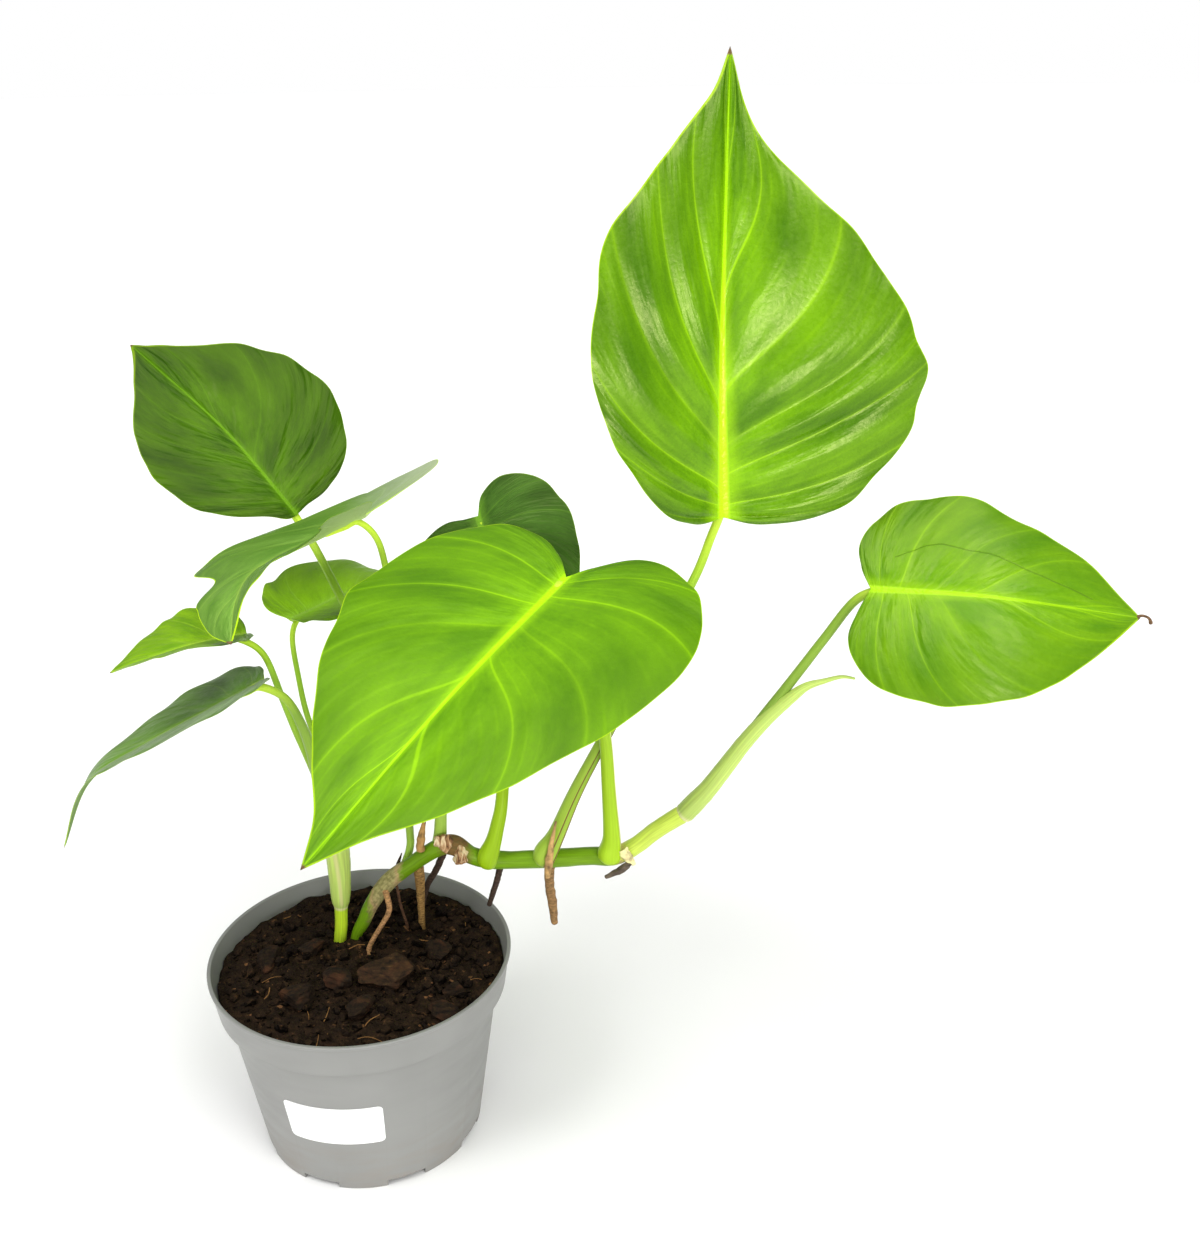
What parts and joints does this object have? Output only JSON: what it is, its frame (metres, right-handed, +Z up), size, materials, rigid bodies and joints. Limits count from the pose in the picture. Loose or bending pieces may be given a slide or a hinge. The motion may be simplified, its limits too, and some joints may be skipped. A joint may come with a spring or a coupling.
{
  "type": "potted monstera",
  "caption": "Young trailing monstera with heart-shaped leaves, growing from a creeping stem in a round grey nursery pot with a blank label.",
  "frame": {"origin": "on the pot's axis at the level of the surface it stands on, in the middle of the underside's centre pad", "axes": "+Z up along the pot's axis, -Y towards the viewer who faces the label, +X to that viewer's right, the way the creeping stem runs"},
  "size_m": [0.3995, 0.2343, 0.4141],
  "materials": {
    "pot_plastic": "satin",
    "label_paper": "satin",
    "potting_mix": "matte",
    "bark": "matte",
    "leaf_top": "satin",
    "leaf_right": "satin",
    "leaf_front": "satin",
    "leaf_dark": "satin",
    "leaf_high_left": "satin",
    "leaf_torn": "satin",
    "leaf_back": "satin",
    "leaf_small": "satin",
    "leaf_low_left": "satin",
    "stem_green": "satin",
    "sheath_green": "satin",
    "stalk_green": "satin",
    "root_dark": "matte",
    "root_tan": "matte",
    "dry_sheath": "matte"
  },
  "bodies": {
    "root": {"bark_chip_1": "bark", "bark_chip_2": "bark", "bark_chip_3": "bark", "bark_chip_4": "bark", "bark_chip_5": "bark", "bark_chip_6": "bark", "bark_chip_7": "bark", "bark_chip_8": "bark", "bark_chip_9": "bark", "blade_back": "leaf_back", "blade_dark": "leaf_dark", "blade_front": "leaf_front", "blade_high_left": "leaf_high_left", "blade_low_left": "leaf_low_left", "blade_right": "leaf_right", "blade_small": "leaf_small", "blade_top": "leaf_top", "blade_torn": "leaf_torn", "creeping_stem": "stem_green", "dry_sheath_hooked": "dry_sheath", "dry_sheath_low": "dry_sheath", "dry_sheath_spike": "dry_sheath", "label": "label_paper", "pot": "pot_plastic", "root_dark_left": "root_dark", "root_dark_right": "root_dark", "root_hanging": "root_tan", "root_tan_bent": "root_tan", "root_tan_thick": "root_tan", "root_thread": "root_tan", "sheath_right": "sheath_green", "soil": "potting_mix", "stalk_back": "stalk_green", "stalk_dark": "stalk_green", "stalk_front": "stalk_green", "stalk_high_left": "stalk_green", "stalk_low_left": "stalk_green", "stalk_right": "stalk_green", "stalk_small": "stalk_green", "stalk_top": "stalk_green", "stalk_torn": "stalk_green", "young_shoot": "sheath_green"}
  },
  "joints": []
}
